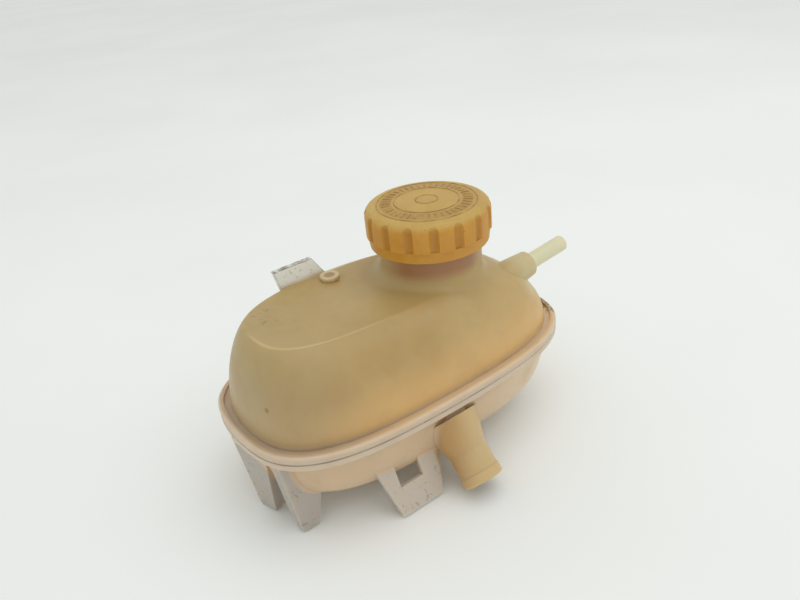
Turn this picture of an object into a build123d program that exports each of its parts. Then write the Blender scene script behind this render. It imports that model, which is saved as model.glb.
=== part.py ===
from build123d import *
import os
from math import copysign, cos, pi, radians, sin, tan

# Coolant expansion tank: two moulded halves welded at a flange, with a screw cap that
# carries a pressure valve and a vacuum valve. Sizes are in millimetres. The seam plane is
# Z = 0 with the origin at its middle, +Z runs up the filler neck, +X points to the neck
# end and -Y is the front, where the outlet leaves.

# Welded flange and walls of the two halves
FLANGE_LENGTH = 188.0
FLANGE_WIDTH = 107.0
FLANGE_THICKNESS = 4.0
FLANGE_ROUND = 1.4
SEAM_CHAMFER = 0.3
LIP_WIDTH = 2.6
GROOVE_DEPTH = 1.2
LEDGE = 5.6
WALL = 2.8
OUTLINE_POWER = 3.1
OUTLINE_POINTS = 24
CUT_THROUGH = 1.0

# Dome of the upper half: each inset is how far that side leans in at the very top, and the
# two powers say how square the corners are there at the front and at the rear
DOME_HEIGHT = 43.4
DOME_ROUNDNESS = 2.0
DOME_LEVELS = (0.0, 0.2, 0.42, 0.63, 0.8, 0.91, 0.975)
DOME_INSET_LEFT = 18.0
DOME_INSET_RIGHT = 47.0
DOME_INSET_FRONT = 28.0
DOME_INSET_REAR = 12.7
DOME_FRONT_POWER = 3.4
DOME_REAR_POWER = 2.2
PLATEAU_FALL = 2.2
CREASE_RADIUS = 2.5

# Dish of the lower half
DISH_DEPTH = 33.5
DISH_ROUNDNESS = 2.6
DISH_LEVELS = (0.0, 0.3, 0.58, 0.78, 0.9, 0.965, 1.0)
DISH_INSET_LEFT = 26.0
DISH_INSET_RIGHT = 22.0
DISH_INSET_FRONT = 10.5
DISH_INSET_REAR = 10.5

# Filler neck: its inset is from the flange's right end, its height is over the dome
NECK_INSET = 64.2
NECK_Y = 1.3
NECK_RADIUS = 26.4
NECK_WALL = 3.0
NECK_HEIGHT = 27.2
NECK_FLARE = 7.0
NECK_LIP_ROUND = 0.8

# Bleed nipple on its conical boss, in from the flange's right end and below the dome's top
NIPPLE_Y = -16.0
NIPPLE_TILT = 5.8
NIPPLE_RADIUS = 4.5
NIPPLE_LENGTH = 27.8
NIPPLE_BORE_RADIUS = 2.2
NIPPLE_TIP_ROUND = 1.2
BOSS_INSET = 10.9
BOSS_DROP = 14.3
BOSS_RADIUS = 7.2
BOSS_ROOT_RADIUS = 9.8
BOSS_REACH = 30.0
BOSS_ROUND = 0.7

# Mounting tongue behind the dome, in from the flange's rear side and over the dome's top
TONGUE_LEFT = -43.5
TONGUE_WIDTH = 22.5
TONGUE_INSET = 15.5
TONGUE_THICKNESS = 2.6
TONGUE_RISE = 10.2
TONGUE_DEPTH = 24.0
TONGUE_LEAN = 12.8
TONGUE_FLARE = 32.0

# Round gate stub on the plateau, in from the flange's rear side
GATE_X = -16.9
GATE_INSET = 25.6
GATE_RISE = 2.0
GATE_RADIUS = 5.0
GATE_LENGTH = 6.0

# Outlet for the large hose, out from the flange's front side and below the dish
OUTLET_X = -1.0
OUTLET_OVERHANG = 13.5
OUTLET_DROP = 7.5
OUTLET_SLANT = 45.0
OUTLET_RADIUS = 10.0
OUTLET_BORE_RADIUS = 8.2
OUTLET_LENGTH = 42.0
OUTLET_ROOT_RADIUS = 15.0
OUTLET_ROOT_START = 16.0
OUTLET_ROOT_LENGTH = 18.0
OUTLET_BEAD_RADIUS = 10.5
OUTLET_BEAD_LENGTH = 5.0
OUTLET_END_ROUND = 0.9

# Feet of the bracket and the fins, below the dish
FOOT_DROP = 14.5

# Front bracket plate with its window, in from the flange's front side at its foot
BRACKET_LEFT = -41.4
BRACKET_WIDTH = 24.4
BRACKET_INSET = 0.3
BRACKET_SLANT = 23.0
BRACKET_TAPER = 13.0
BRACKET_THICKNESS = 2.6
BRACKET_HEIGHT = 30.0
WINDOW_SIDE = 3.5
WINDOW_WIDTH = 13.5
WINDOW_SILL = 14.0

# Two fins below the flange at its left end, from which their insets are taken
FIN_THICKNESS = 3.6
FIN_ROUND = 1.2
END_FIN_PROUD = 1.0
END_FIN_Y = 4.0
END_FIN_TURN = 17.0
END_FIN_DRAFT = 6.2
END_FIN_TOP_WIDTH = 21.0
END_FIN_FOOT_START = 2.6
END_FIN_FOOT_WIDTH = 10.6
END_FIN_EDGE = 3.0
END_FIN_RETURN = 6.6
SIDE_FIN_FRONT = 26.5
SIDE_FIN_TOP_INSET = 5.5
SIDE_FIN_FOOT_INSET = 11.0
SIDE_FIN_FOOT_WIDTH = 9.0
SIDE_FIN_REACH = 24.0
GUSSET_WIDTH = 9.0
GUSSET_KNEE = 14.0
GUSSET_FOOT_WIDTH = 4.2

# Screw cap: its drop and rise are from the top of the neck
CAP_DROP = 12.2
CAP_RISE = 8.8
CAP_CROWN = 1.2
CAP_WALL = 4.0
CAP_RIM_INSET = 1.4
CAP_BAND_HEIGHT = 5.6
CAP_BAND_STEP = 0.7
CAP_SHOULDER = 4.6
CAP_THREAD_GAP = 1.6
CAP_ROOF = 3.0
FLUTE_COUNT = 16
FLUTE_START = 11.0
FLUTE_RADIUS = 3.0
FLUTE_DEPTH = 1.6
PRESS_RING_WIDTH = 2.0

# Valve carrier that hangs in the cap and reaches into the neck
RUNNING_GAP = 0.3
CARRIER_RISE = 1.9
CARRIER_FLANGE = 1.8
CARRIER_LIP = 1.0
CARRIER_GAP = 0.8
CARRIER_WALL = 4.2
CARRIER_DEPTH = 13.1
CARRIER_FLOOR = 2.2
HOOK_HEIGHT = 1.1
HOOK_REACH = 1.2
SEAT_RADIUS = 10.8
SEAT_WIDTH = 1.2
SEAT_HEIGHT = 1.0
PORT_RADIUS = 9.0
COVER_REBATE = 1.2
COVER_HOLE_RADIUS = 5.2
COVER_VENT_RADIUS = 1.7
COVER_VENT_COUNT = 6
FIT_GAP = 0.08

# Seal ring on the carrier
RING_SECTION = 1.3
RING_SIDES = 12
RING_HEIGHT = 5.0

# Pressure valve, vacuum valve and their springs
VALVE_SEAL_THICKNESS = 1.5
VALVE_SEAL_INNER = 5.0
VALVE_PLATE_RADIUS = 13.6
VALVE_PLATE_THICKNESS = 1.8
VALVE_HUB_WALL = 1.4
VALVE_HUB_HEIGHT = 2.6
VALVE_PORT_COUNT = 4
VALVE_PORT_RADIUS = 0.8
VALVE_PORT_CIRCLE = 3.6
VALVE_SEAT_GAP = 0.2
WIRE_SIDES = 6
PRESSURE_WIRE = 0.6
PRESSURE_TURNS = 3.0
PRESSURE_COIL_RADIUS = 10.8
POPPET_RADIUS = 7.2
POPPET_THICKNESS = 1.4
STEM_RADIUS = 1.5
STEM_GAP = 0.4
STEM_HEAD = 0.6
STEM_LENGTH = 9.4
CLIP_RADIUS = 4.2
CLIP_THICKNESS = 0.9
CLIP_INSET = 0.8
VACUUM_WIRE = 0.25
VACUUM_TURNS = 3.0
VACUUM_COIL_RADIUS = 2.7

# Places that follow from the sizes above
OVAL_SIDES = (-FLANGE_LENGTH / 2, FLANGE_LENGTH / 2, -FLANGE_WIDTH / 2, FLANGE_WIDTH / 2)
LEFT_END, RIGHT_END, FRONT_SIDE, REAR_SIDE = OVAL_SIDES
FOOT_Z = -DISH_DEPTH - FOOT_DROP
NECK_X = RIGHT_END - NECK_INSET
NECK_TOP = DOME_HEIGHT + NECK_HEIGHT
NECK_BORE_RADIUS = NECK_RADIUS - NECK_WALL
NECK_PLANE = Plane(origin=(NECK_X, NECK_Y, 0), x_dir=(1, 0, 0), z_dir=(0, -1, 0))
NECK_AXIS = Axis((NECK_X, NECK_Y, 0), (0, 0, 1))
CARRIER_FLANGE_Z = NECK_TOP + CARRIER_RISE
CARRIER_TOP = CARRIER_FLANGE_Z + CARRIER_FLANGE
CARRIER_RADIUS = NECK_BORE_RADIUS - CARRIER_GAP
CARRIER_INNER = CARRIER_RADIUS - CARRIER_WALL
CARRIER_BOTTOM = NECK_TOP - CARRIER_DEPTH
CARRIER_FLANGE_RADIUS = NECK_RADIUS - CARRIER_LIP
SEAT_TOP = CARRIER_BOTTOM + CARRIER_FLOOR + SEAT_HEIGHT
VALVE_SEAL_Z = SEAT_TOP + VALVE_SEAT_GAP
VALVE_PLATE_Z = VALVE_SEAL_Z + VALVE_SEAL_THICKNESS
VALVE_PLATE_TOP = VALVE_PLATE_Z + VALVE_PLATE_THICKNESS
POPPET_TOP = VALVE_SEAL_Z - VALVE_SEAT_GAP
STEM_TOP = POPPET_TOP + STEM_LENGTH
CLIP_TOP = STEM_TOP - CLIP_INSET
CLIP_Z = CLIP_TOP - CLIP_THICKNESS


def oval_face(plane, sides, inset=0.0, front_power=OUTLINE_POWER, rear_power=OUTLINE_POWER):
    """Rounded oblong that spans the four sides, drawn in by the inset, on the plane."""
    left, right, front, rear = sides
    half_length = (right - left) / 2 - inset
    half_width = (rear - front) / 2 - inset
    points = []
    for step in range(OUTLINE_POINTS):
        turn = 2 * pi * (step + 0.5) / OUTLINE_POINTS
        power = front_power if sin(turn) < 0 else rear_power
        along = copysign(abs(cos(turn)) ** (2 / power), cos(turn))
        across = copysign(abs(sin(turn)) ** (2 / power), sin(turn))
        points.append(((left + right) / 2 + half_length * along, (front + rear) / 2 + half_width * across))
    with BuildSketch(plane) as section:
        with BuildLine():
            Spline(*points, periodic=True)
        make_face()
    return section.sketch


def lean(level, roundness):
    """Share of the full inset that a rounded wall has reached at a level from 0 to 1."""
    return 1 - (1 - level**roundness) ** (1 / roundness)


def dome_section(level, wall):
    """Section of the dome at a level, drawn in and lowered by the wall."""
    share = lean(level, DOME_ROUNDNESS)
    sides = (LEFT_END + LEDGE + DOME_INSET_LEFT * share, RIGHT_END - LEDGE - DOME_INSET_RIGHT * share,
             FRONT_SIDE + LEDGE + DOME_INSET_FRONT * share, REAR_SIDE - LEDGE - DOME_INSET_REAR * share)
    tilt = radians(PLATEAU_FALL * level)
    plane = Plane(origin=(0, 0, level * (DOME_HEIGHT - wall)), x_dir=(cos(tilt), 0, -sin(tilt)),
                  z_dir=(sin(tilt), 0, cos(tilt)))
    front_power = OUTLINE_POWER + (DOME_FRONT_POWER - OUTLINE_POWER) * level
    rear_power = OUTLINE_POWER + (DOME_REAR_POWER - OUTLINE_POWER) * level
    return oval_face(plane, sides, wall, front_power, rear_power)


def dish_section(level, wall):
    """Section of the dish at a level, drawn in and raised by the wall."""
    share = lean(level, DISH_ROUNDNESS)
    sides = (LEFT_END + LEDGE + DISH_INSET_LEFT * share, RIGHT_END - LEDGE - DISH_INSET_RIGHT * share,
             FRONT_SIDE + LEDGE + DISH_INSET_FRONT * share, REAR_SIDE - LEDGE - DISH_INSET_REAR * share)
    return oval_face(Plane.XY.offset(-level * (DISH_DEPTH - wall)), sides, wall)


def ring_profile(inner, outer, low, high):
    """Half section of a ring about the neck's axis, for a revolve."""
    with BuildSketch(NECK_PLANE) as section:
        with Locations(((inner + outer) / 2, (low + high) / 2)):
            Rectangle(outer - inner, high - low)
    return section.sketch


def coil_path(low, high, radius, wire, turns):
    """Middle line of a helical spring about the neck's axis between two flat seats."""
    height = high - low - 2 * wire - 2 * FIT_GAP
    start = (NECK_X, NECK_Y, low + wire + FIT_GAP)
    return Helix(pitch=height / turns, height=height, radius=radius, center=start, mode=Mode.PRIVATE)


os.makedirs("parts", exist_ok=True)

# Upper half: grooved flange, dome with its flat plateau, filler neck, nipple, tongue and gate stub
nipple_turn = radians(NIPPLE_TILT)
boss_plane = Plane(origin=(RIGHT_END - BOSS_INSET, NIPPLE_Y, DOME_HEIGHT - BOSS_DROP), x_dir=(0, 1, 0),
                   z_dir=(cos(nipple_turn), 0, sin(nipple_turn)))
tongue_top = DOME_HEIGHT + TONGUE_RISE
tongue_low = tongue_top - TONGUE_DEPTH
tongue_outline = ((TONGUE_LEFT, tongue_top), (TONGUE_LEFT + TONGUE_WIDTH, tongue_top),
                  (TONGUE_LEFT + TONGUE_WIDTH + TONGUE_DEPTH * tan(radians(TONGUE_FLARE)), tongue_low),
                  (TONGUE_LEFT + TONGUE_DEPTH * tan(radians(TONGUE_LEAN)), tongue_low))
neck_root = DOME_HEIGHT / 2
mouth_sides = tuple(side - copysign(LEDGE, side) for side in OVAL_SIDES)
dome_cavity = [oval_face(Plane.XY.offset(-CUT_THROUGH), mouth_sides, WALL)]
dome_cavity += [dome_section(level, WALL) for level in DOME_LEVELS[1:]]
with BuildPart() as upper_shell:
    extrude(oval_face(Plane.XY, OVAL_SIDES), amount=FLANGE_THICKNESS)
    fillet(upper_shell.edges().sort_by(Axis.Z)[-1], FLANGE_ROUND)
    chamfer(upper_shell.edges().sort_by(Axis.Z)[0], SEAM_CHAMFER)
    extrude(oval_face(Plane.XY.offset(FLANGE_THICKNESS), OVAL_SIDES, LIP_WIDTH), amount=-GROOVE_DEPTH,
            mode=Mode.SUBTRACT)
    loft(sections=[dome_section(level, 0) for level in DOME_LEVELS])
    fillet(upper_shell.faces().sort_by(Axis.Z)[-1].edges(), CREASE_RADIUS)
    # Filler neck, flared where it meets the dome
    with BuildSketch(Plane.XY.offset(neck_root)):
        with Locations((NECK_X, NECK_Y)):
            Circle(NECK_RADIUS)
    extrude(amount=NECK_TOP - neck_root)
    neck_wall = upper_shell.faces().filter_by(GeomType.CYLINDER).sort_by(Axis.Z)[-1]
    fillet(neck_wall.edges().sort_by(Axis.Z)[:-1], NECK_FLARE)
    # Boss and nipple
    with BuildSketch(boss_plane.offset(-BOSS_REACH)):
        Circle(BOSS_ROOT_RADIUS)
    with BuildSketch(boss_plane):
        Circle(BOSS_RADIUS)
    loft()
    fillet(upper_shell.edges().filter_by(GeomType.CIRCLE).sort_by(Axis.X)[-1], BOSS_ROUND)
    with BuildSketch(boss_plane):
        Circle(NIPPLE_RADIUS)
    extrude(amount=NIPPLE_LENGTH)
    fillet(upper_shell.edges().filter_by(GeomType.CIRCLE).sort_by(Axis.X)[-1], NIPPLE_TIP_ROUND)
    # Mounting tongue and gate stub
    with BuildSketch(Plane.XZ.offset(TONGUE_INSET - REAR_SIDE)):
        Polygon(*tongue_outline, align=None)
    extrude(amount=TONGUE_THICKNESS / 2, both=True)
    with BuildSketch(Plane.XY.offset(DOME_HEIGHT + GATE_RISE)):
        with Locations((GATE_X, REAR_SIDE - GATE_INSET)):
            Circle(GATE_RADIUS)
    extrude(amount=-GATE_LENGTH)
    # Hollow inside, neck bore and nipple bore
    loft(sections=dome_cavity, mode=Mode.SUBTRACT)
    with BuildSketch(Plane.XY.offset(NECK_TOP)):
        with Locations((NECK_X, NECK_Y)):
            Circle(NECK_BORE_RADIUS)
    extrude(amount=neck_root - NECK_TOP, mode=Mode.SUBTRACT)
    fillet(upper_shell.edges().filter_by(GeomType.CIRCLE).group_by(Axis.Z)[-1], NECK_LIP_ROUND)
    with BuildSketch(boss_plane.offset(NIPPLE_LENGTH)):
        Circle(NIPPLE_BORE_RADIUS)
    extrude(amount=-NIPPLE_LENGTH - BOSS_REACH, mode=Mode.SUBTRACT)
upper_shell.part.label = "upper_shell"
export_step(upper_shell.part, "parts/upper_shell.step")

# Lower half: flange, dish, outlet, front bracket and the two fins at the left end
outlet_turn = radians(OUTLET_SLANT)
outlet_plane = Plane(origin=(OUTLET_X, FRONT_SIDE - OUTLET_OVERHANG, -DISH_DEPTH - OUTLET_DROP),
                     x_dir=(1, 0, 0), z_dir=(0, -sin(outlet_turn), -cos(outlet_turn)))
outlet_root = outlet_plane.offset(-OUTLET_ROOT_START - OUTLET_ROOT_LENGTH)
bracket_turn = radians(BRACKET_SLANT)
bracket_plane = Plane(origin=(BRACKET_LEFT, FRONT_SIDE + BRACKET_INSET, FOOT_Z), x_dir=(1, 0, 0),
                      z_dir=(0, -cos(bracket_turn), sin(bracket_turn)))
bracket_spread = BRACKET_HEIGHT * tan(radians(BRACKET_TAPER))
bracket_outline = ((0, 0), (BRACKET_WIDTH, 0), (BRACKET_WIDTH + bracket_spread, BRACKET_HEIGHT),
                   (-bracket_spread, BRACKET_HEIGHT))
fin_top = -FLANGE_THICKNESS / 2
fin_height = fin_top - FOOT_Z
end_turn = radians(END_FIN_TURN)
end_draft = radians(END_FIN_DRAFT)
end_plane = Plane(origin=(LEFT_END - END_FIN_PROUD, END_FIN_Y, fin_top),
                  x_dir=(sin(end_turn), -cos(end_turn), 0),
                  z_dir=(-cos(end_turn) * cos(end_draft), -sin(end_turn) * cos(end_draft), -sin(end_draft)))
end_height = fin_height / cos(end_draft)
end_foot = END_FIN_FOOT_START + END_FIN_FOOT_WIDTH
end_outline = ((0, 0), (END_FIN_TOP_WIDTH, 0), (end_foot, -end_height), (END_FIN_FOOT_START, -end_height))
return_outline = ((END_FIN_TOP_WIDTH - END_FIN_EDGE, 0), (END_FIN_TOP_WIDTH, 0), (end_foot, -end_height),
                  (end_foot - END_FIN_EDGE, -end_height))
side_y = FRONT_SIDE + SIDE_FIN_FRONT
side_top_x = LEFT_END + SIDE_FIN_TOP_INSET
side_foot_x = LEFT_END + SIDE_FIN_FOOT_INSET
side_outline = ((side_top_x, fin_top), (side_foot_x, FOOT_Z), (side_foot_x + SIDE_FIN_FOOT_WIDTH, FOOT_Z),
                (side_top_x + SIDE_FIN_REACH, fin_top))
gusset_plane = Plane(origin=(side_foot_x, side_y, FOOT_Z), x_dir=(0, 1, 0),
                     z_dir=(fin_height, 0, side_foot_x - side_top_x))
gusset_outline = ((0, 0), (GUSSET_FOOT_WIDTH, 0), (GUSSET_WIDTH, GUSSET_KNEE), (GUSSET_WIDTH, fin_height),
                  (0, fin_height))
dish_cavity = [oval_face(Plane.XY.offset(CUT_THROUGH), mouth_sides, WALL)]
dish_cavity += [dish_section(level, WALL) for level in DISH_LEVELS[1:]]
with BuildPart() as lower_shell:
    extrude(oval_face(Plane.XY, OVAL_SIDES), amount=-FLANGE_THICKNESS)
    fillet(lower_shell.edges().sort_by(Axis.Z)[0], FLANGE_ROUND)
    chamfer(lower_shell.edges().sort_by(Axis.Z)[-1], SEAM_CHAMFER)
    loft(sections=[dish_section(level, 0) for level in DISH_LEVELS])
    # Outlet with a conical root and a bead at its end
    with BuildSketch(outlet_plane):
        Circle(OUTLET_RADIUS)
    extrude(amount=-OUTLET_LENGTH)
    with BuildSketch(outlet_root):
        Circle(OUTLET_ROOT_RADIUS)
    with BuildSketch(outlet_plane.offset(-OUTLET_ROOT_START)):
        Circle(OUTLET_RADIUS)
    loft()
    with BuildSketch(outlet_plane):
        Circle(OUTLET_BEAD_RADIUS)
    extrude(amount=-OUTLET_BEAD_LENGTH)
    fillet(lower_shell.edges().filter_by(GeomType.CIRCLE).sort_by(Axis.Y)[0], OUTLET_END_ROUND)
    # Front bracket: a plate on two legs with a window between them
    with BuildSketch(bracket_plane):
        Polygon(*bracket_outline, align=None)
        with Locations((WINDOW_SIDE, WINDOW_SILL)):
            Rectangle(WINDOW_WIDTH, BRACKET_HEIGHT, align=Align.MIN, mode=Mode.SUBTRACT)
    extrude(amount=BRACKET_THICKNESS / 2, both=True)
    # End fin with its return along the near edge, and side fin with its gusset
    with BuildSketch(end_plane) as end_fin:
        Polygon(*end_outline, align=None)
        fillet(end_fin.vertices().sort_by(Axis.Y)[:2].sort_by(Axis.X)[0], FIN_ROUND)
    extrude(amount=-FIN_THICKNESS)
    with BuildSketch(end_plane):
        Polygon(*return_outline, align=None)
    extrude(amount=-END_FIN_RETURN)
    with BuildSketch(Plane.XZ.offset(-side_y)) as side_fin:
        Polygon(*side_outline, align=None)
        fillet(side_fin.vertices().sort_by(Axis.Y)[:2], FIN_ROUND)
    extrude(amount=FIN_THICKNESS / 2, both=True)
    with BuildSketch(gusset_plane):
        Polygon(*gusset_outline, align=None)
    extrude(amount=FIN_THICKNESS)
    # Hollow inside and outlet bore
    loft(sections=dish_cavity, mode=Mode.SUBTRACT)
    with BuildSketch(outlet_plane):
        Circle(OUTLET_BORE_RADIUS)
    extrude(amount=-OUTLET_LENGTH, mode=Mode.SUBTRACT)
lower_shell.part.label = "lower_shell"
export_step(lower_shell.part, "parts/lower_shell.step")

# Screw cap: crowned and fluted, with a hook ring that holds the valve body inside
cap_inner = NECK_RADIUS + CAP_THREAD_GAP
cap_radius = cap_inner + CAP_WALL
cap_bottom = NECK_TOP - CAP_DROP
cap_top = NECK_TOP + CAP_RISE
cap_roof = cap_top - CAP_ROOF
cap_side_top = cap_top - CAP_CROWN - CAP_SHOULDER
cap_band_top = cap_bottom + CAP_BAND_HEIGHT
hook_z = CARRIER_FLANGE_Z - RUNNING_GAP
hook_radius = CARRIER_FLANGE_RADIUS - HOOK_REACH
groove_radius = CARRIER_FLANGE_RADIUS + RUNNING_GAP
press_ring = groove_radius - PRESS_RING_WIDTH
press_z = CARRIER_TOP + RUNNING_GAP
crown_radius = cap_radius - CAP_SHOULDER
with BuildPart() as cap_shell:
    with BuildSketch(NECK_PLANE):
        with BuildLine():
            crown = ThreePointArc((0, cap_top), (crown_radius / 2, cap_top - CAP_CROWN / 4),
                                  (crown_radius, cap_top - CAP_CROWN))
            shoulder = RadiusArc(crown @ 1, (cap_radius, cap_side_top), CAP_SHOULDER)
            Polyline(shoulder @ 1, (cap_radius, cap_band_top), (cap_radius - CAP_BAND_STEP, cap_band_top),
                     (cap_radius - CAP_RIM_INSET, cap_bottom), (cap_inner, cap_bottom),
                     (cap_inner, hook_z - HOOK_HEIGHT), (hook_radius, hook_z - HOOK_HEIGHT),
                     (hook_radius, hook_z), (groove_radius, hook_z), (groove_radius, press_z),
                     (press_ring, press_z), (press_ring, cap_roof), (0, cap_roof), (0, cap_top))
        make_face()
    revolve(axis=NECK_AXIS)
    with BuildSketch(Plane.XY.offset(cap_band_top)):
        with Locations((NECK_X, NECK_Y)):
            with PolarLocations(cap_radius + FLUTE_RADIUS - FLUTE_DEPTH, FLUTE_COUNT, FLUTE_START):
                Circle(FLUTE_RADIUS)
    extrude(amount=cap_top - cap_band_top, mode=Mode.SUBTRACT)
cap_shell.part.label = "cap_shell"
export_step(cap_shell.part, "parts/cap_shell.step")

# Valve body: a cup with a flange at the top, a ring groove outside and a raised valve seat
floor_top = CARRIER_BOTTOM + CARRIER_FLOOR
cover_seat_radius = CARRIER_INNER + COVER_REBATE
ring_radius = NECK_BORE_RADIUS - RUNNING_GAP - RING_SECTION
ring_z = CARRIER_BOTTOM + RING_HEIGHT
ring_half = RING_SECTION + FIT_GAP
seat_inner = SEAT_RADIUS - SEAT_WIDTH / 2
seat_outer = SEAT_RADIUS + SEAT_WIDTH / 2
with BuildPart() as valve_body:
    with BuildSketch(NECK_PLANE):
        with BuildLine():
            Polyline((PORT_RADIUS, CARRIER_BOTTOM), (CARRIER_RADIUS, CARRIER_BOTTOM),
                     (CARRIER_RADIUS, CARRIER_FLANGE_Z), (CARRIER_FLANGE_RADIUS, CARRIER_FLANGE_Z),
                     (CARRIER_FLANGE_RADIUS, CARRIER_TOP), (cover_seat_radius, CARRIER_TOP),
                     (cover_seat_radius, CARRIER_FLANGE_Z), (CARRIER_INNER, CARRIER_FLANGE_Z),
                     (CARRIER_INNER, floor_top), (seat_outer, floor_top), (seat_outer, SEAT_TOP),
                     (seat_inner, SEAT_TOP), (seat_inner, floor_top), (PORT_RADIUS, floor_top), close=True)
        make_face()
    revolve(axis=NECK_AXIS)
    revolve(ring_profile(ring_radius - ring_half, NECK_BORE_RADIUS, ring_z - ring_half, ring_z + ring_half),
            axis=NECK_AXIS, mode=Mode.SUBTRACT)
valve_body.part.label = "valve_body"
export_step(valve_body.part, "parts/valve_body.step")

# Ring that seals the valve body in the neck's bore
with BuildPart() as neck_seal:
    with BuildSketch(NECK_PLANE):
        with Locations((ring_radius, ring_z)):
            RegularPolygon(RING_SECTION, RING_SIDES)
    revolve(axis=NECK_AXIS)
neck_seal.part.label = "neck_seal"
export_step(neck_seal.part, "parts/neck_seal.step")

# Vented cover that closes the cup and holds the pressure spring down
cover_radius = cover_seat_radius - FIT_GAP
with BuildPart() as valve_cover:
    revolve(ring_profile(COVER_HOLE_RADIUS, cover_radius, CARRIER_FLANGE_Z, CARRIER_TOP), axis=NECK_AXIS)
    with BuildSketch(Plane.XY.offset(CARRIER_FLANGE_Z)):
        with Locations((NECK_X, NECK_Y)):
            with PolarLocations((COVER_HOLE_RADIUS + cover_radius) / 2, COVER_VENT_COUNT):
                Circle(COVER_VENT_RADIUS)
    extrude(amount=CARRIER_FLANGE, mode=Mode.SUBTRACT)
valve_cover.part.label = "valve_cover"
export_step(valve_cover.part, "parts/valve_cover.step")

# Pressure valve: a plate with a spring hub, ports for the vacuum valve and a flat seal below
hub_outer = PRESSURE_COIL_RADIUS - PRESSURE_WIRE - RUNNING_GAP
stem_hole = STEM_RADIUS + STEM_GAP
with BuildPart() as pressure_valve:
    revolve(ring_profile(stem_hole, VALVE_PLATE_RADIUS, VALVE_PLATE_Z, VALVE_PLATE_TOP), axis=NECK_AXIS)
    revolve(ring_profile(hub_outer - VALVE_HUB_WALL, hub_outer, VALVE_PLATE_TOP,
                         VALVE_PLATE_TOP + VALVE_HUB_HEIGHT), axis=NECK_AXIS)
    with BuildSketch(Plane.XY.offset(VALVE_PLATE_Z)):
        with Locations((NECK_X, NECK_Y)):
            with PolarLocations(VALVE_PORT_CIRCLE, VALVE_PORT_COUNT):
                Circle(VALVE_PORT_RADIUS)
    extrude(amount=VALVE_PLATE_THICKNESS, mode=Mode.SUBTRACT)
pressure_valve.part.label = "pressure_valve"
export_step(pressure_valve.part, "parts/pressure_valve.step")

with BuildPart() as valve_seal:
    revolve(ring_profile(VALVE_SEAL_INNER, VALVE_PLATE_RADIUS, VALVE_SEAL_Z, VALVE_PLATE_Z), axis=NECK_AXIS)
valve_seal.part.label = "valve_seal"
export_step(valve_seal.part, "parts/valve_seal.step")

pressure_path = coil_path(VALVE_PLATE_TOP, CARRIER_FLANGE_Z, PRESSURE_COIL_RADIUS, PRESSURE_WIRE,
                          PRESSURE_TURNS)
with BuildPart() as pressure_spring:
    with BuildSketch(Plane(origin=pressure_path @ 0, z_dir=pressure_path % 0)):
        RegularPolygon(PRESSURE_WIRE, WIRE_SIDES)
    sweep(path=pressure_path, is_frenet=True)
pressure_spring.part.label = "pressure_spring"
export_step(pressure_spring.part, "parts/pressure_spring.step")

# Vacuum valve: a poppet below the seal, with its stem, clip and small spring above the plate
with BuildPart() as vacuum_valve:
    with BuildSketch(NECK_PLANE):
        with BuildLine():
            Polyline((0, POPPET_TOP - POPPET_THICKNESS), (POPPET_RADIUS, POPPET_TOP - POPPET_THICKNESS),
                     (POPPET_RADIUS, POPPET_TOP), (STEM_RADIUS, POPPET_TOP), (STEM_RADIUS, CLIP_TOP),
                     (STEM_RADIUS + STEM_HEAD, CLIP_TOP), (STEM_RADIUS, STEM_TOP), (0, STEM_TOP), close=True)
        make_face()
    revolve(axis=NECK_AXIS)
vacuum_valve.part.label = "vacuum_valve"
export_step(vacuum_valve.part, "parts/vacuum_valve.step")

with BuildPart() as spring_clip:
    revolve(ring_profile(STEM_RADIUS + FIT_GAP, CLIP_RADIUS, CLIP_Z, CLIP_TOP), axis=NECK_AXIS)
spring_clip.part.label = "spring_clip"
export_step(spring_clip.part, "parts/spring_clip.step")

vacuum_path = coil_path(VALVE_PLATE_TOP, CLIP_Z, VACUUM_COIL_RADIUS, VACUUM_WIRE, VACUUM_TURNS)
with BuildPart() as vacuum_spring:
    with BuildSketch(Plane(origin=vacuum_path @ 0, z_dir=vacuum_path % 0)):
        RegularPolygon(VACUUM_WIRE, WIRE_SIDES)
    sweep(path=vacuum_path, is_frenet=True)
vacuum_spring.part.label = "vacuum_spring"
export_step(vacuum_spring.part, "parts/vacuum_spring.step")
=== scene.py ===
from functools import partial, reduce
from math import atan2, cos, pi, sin

import bpy
from mathutils import Matrix, Vector


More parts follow.
